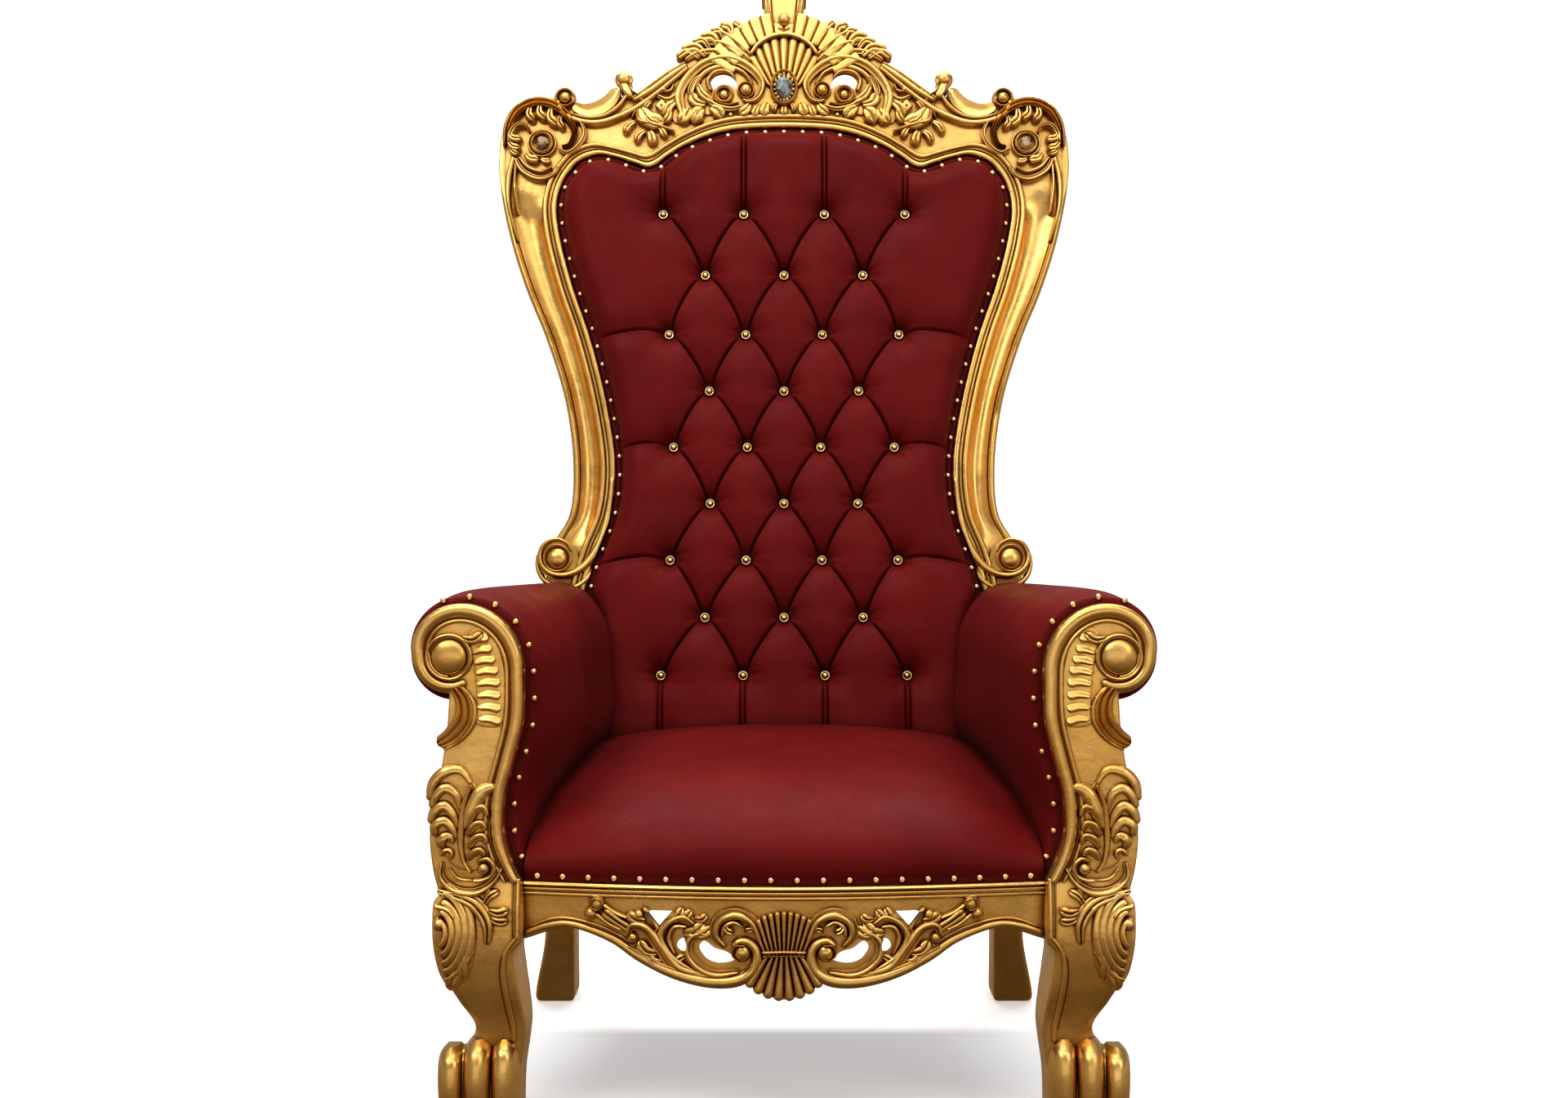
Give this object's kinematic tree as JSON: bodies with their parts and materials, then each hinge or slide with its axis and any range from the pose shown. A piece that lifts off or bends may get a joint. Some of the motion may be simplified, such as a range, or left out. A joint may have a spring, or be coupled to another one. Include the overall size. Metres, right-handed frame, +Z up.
{
  "type": "throne armchair",
  "caption": "Tall throne armchair with a carved gilded frame, pierced crest, rolled leather arms, domed seat and diamond-buttoned leather back",
  "frame": {"origin": "on the floor under the middle of the throne", "axes": "+Z up, -Y is the side that the sitter faces, +X to the right of someone facing the throne"},
  "size_m": [0.997, 0.8464, 1.7671],
  "materials": {
    "gilded_wood": "carved wood under burnished gold leaf, dark in the recesses",
    "leather": "semi-matt burgundy upholstery leather",
    "button_brass": "polished domed heads",
    "blue_stone": "faceted grey-blue glass",
    "amber_stone": "faceted amber glass"
  },
  "bodies": {
    "root": {"back_frame": "gilded_wood", "front_leg_right": "gilded_wood", "front_leg_left": "gilded_wood", "front_rail": "gilded_wood", "side_rail_right": "gilded_wood", "side_rail_left": "gilded_wood", "back_rail": "gilded_wood", "rear_leg_right": "gilded_wood", "rear_leg_left": "gilded_wood", "back_cushion": "leather", "outside_back": "leather", "arm_right": "leather", "arm_left": "leather", "seat": "leather", "button_row_1_place_1": "button_brass", "button_row_1_place_2": "button_brass", "button_row_1_place_3": "button_brass", "button_row_1_place_4": "button_brass", "button_row_2_place_1": "button_brass", "button_row_2_place_2": "button_brass", "button_row_2_place_3": "button_brass", "button_row_3_place_1": "button_brass", "button_row_3_place_2": "button_brass", "button_row_3_place_3": "button_brass", "button_row_3_place_4": "button_brass", "button_row_4_place_1": "button_brass", "button_row_4_place_2": "button_brass", "button_row_4_place_3": "button_brass", "button_row_5_place_1": "button_brass", "button_row_5_place_2": "button_brass", "button_row_5_place_3": "button_brass", "button_row_5_place_4": "button_brass", "button_row_6_place_1": "button_brass", "button_row_6_place_2": "button_brass", "button_row_6_place_3": "button_brass", "button_row_7_place_1": "button_brass", "button_row_7_place_2": "button_brass", "button_row_7_place_3": "button_brass", "button_row_7_place_4": "button_brass", "button_row_8_place_1": "button_brass", "button_row_8_place_2": "button_brass", "button_row_8_place_3": "button_brass", "button_row_9_place_1": "button_brass", "button_row_9_place_2": "button_brass", "button_row_9_place_3": "button_brass", "button_row_9_place_4": "button_brass", "crest_jewel": "blue_stone", "corner_jewel_right": "amber_stone", "corner_jewel_left": "amber_stone"}
  },
  "joints": []
}
